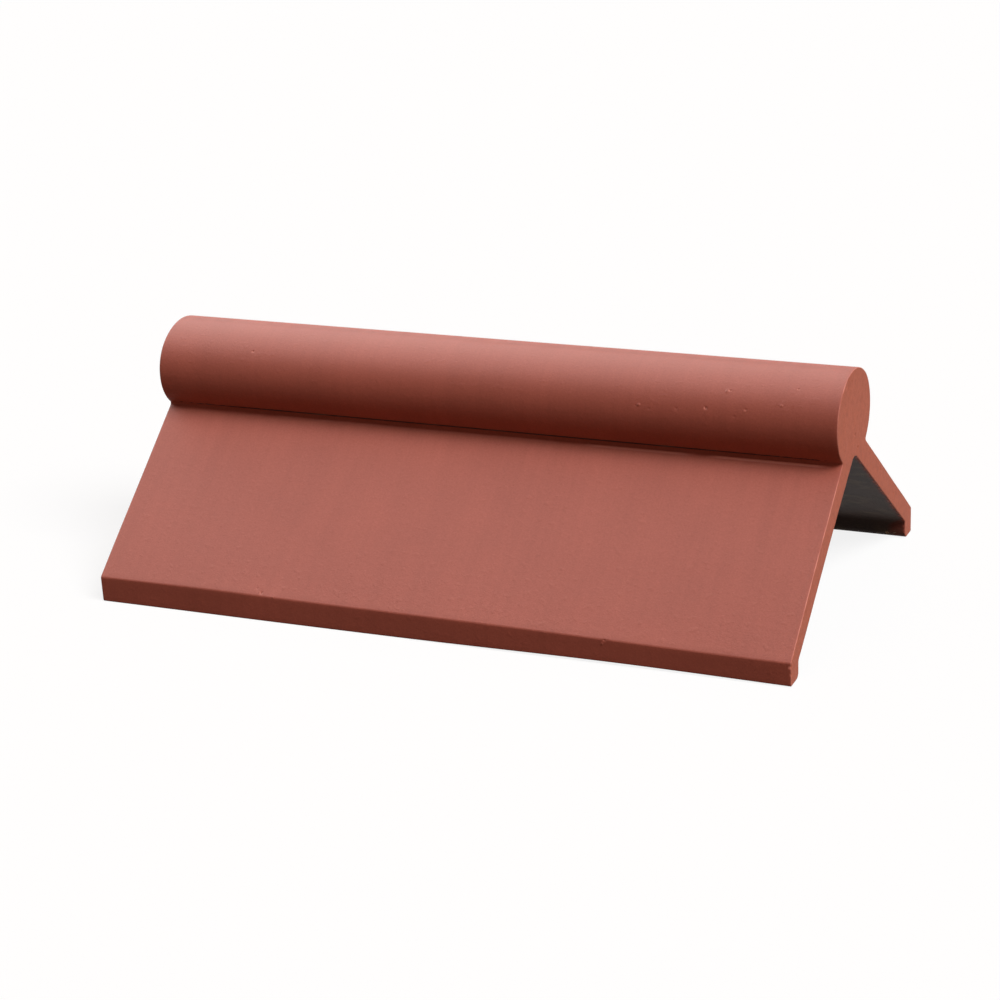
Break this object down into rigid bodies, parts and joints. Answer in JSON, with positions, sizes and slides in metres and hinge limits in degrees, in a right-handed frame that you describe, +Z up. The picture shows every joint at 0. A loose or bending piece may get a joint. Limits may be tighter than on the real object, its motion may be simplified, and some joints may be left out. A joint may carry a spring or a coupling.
{
  "type": "angle ridge tile",
  "caption": "Concrete roof ridge tile with two sloping wings, a rounded roll along the peak and upright feet along the eave edges.",
  "frame": {"origin": "midway along the tile, between the feet, on the plane that the feet stand on", "axes": "+X along the tile, +Y across it, +Z up through the roll"},
  "size_m": [0.45, 0.254, 0.148],
  "materials": {
    "coated_concrete": "matte terracotta coating on the outside and the cut ends, bare dark grey concrete inside"
  },
  "bodies": {
    "root": {"ridge_tile": "coated_concrete"}
  },
  "joints": []
}
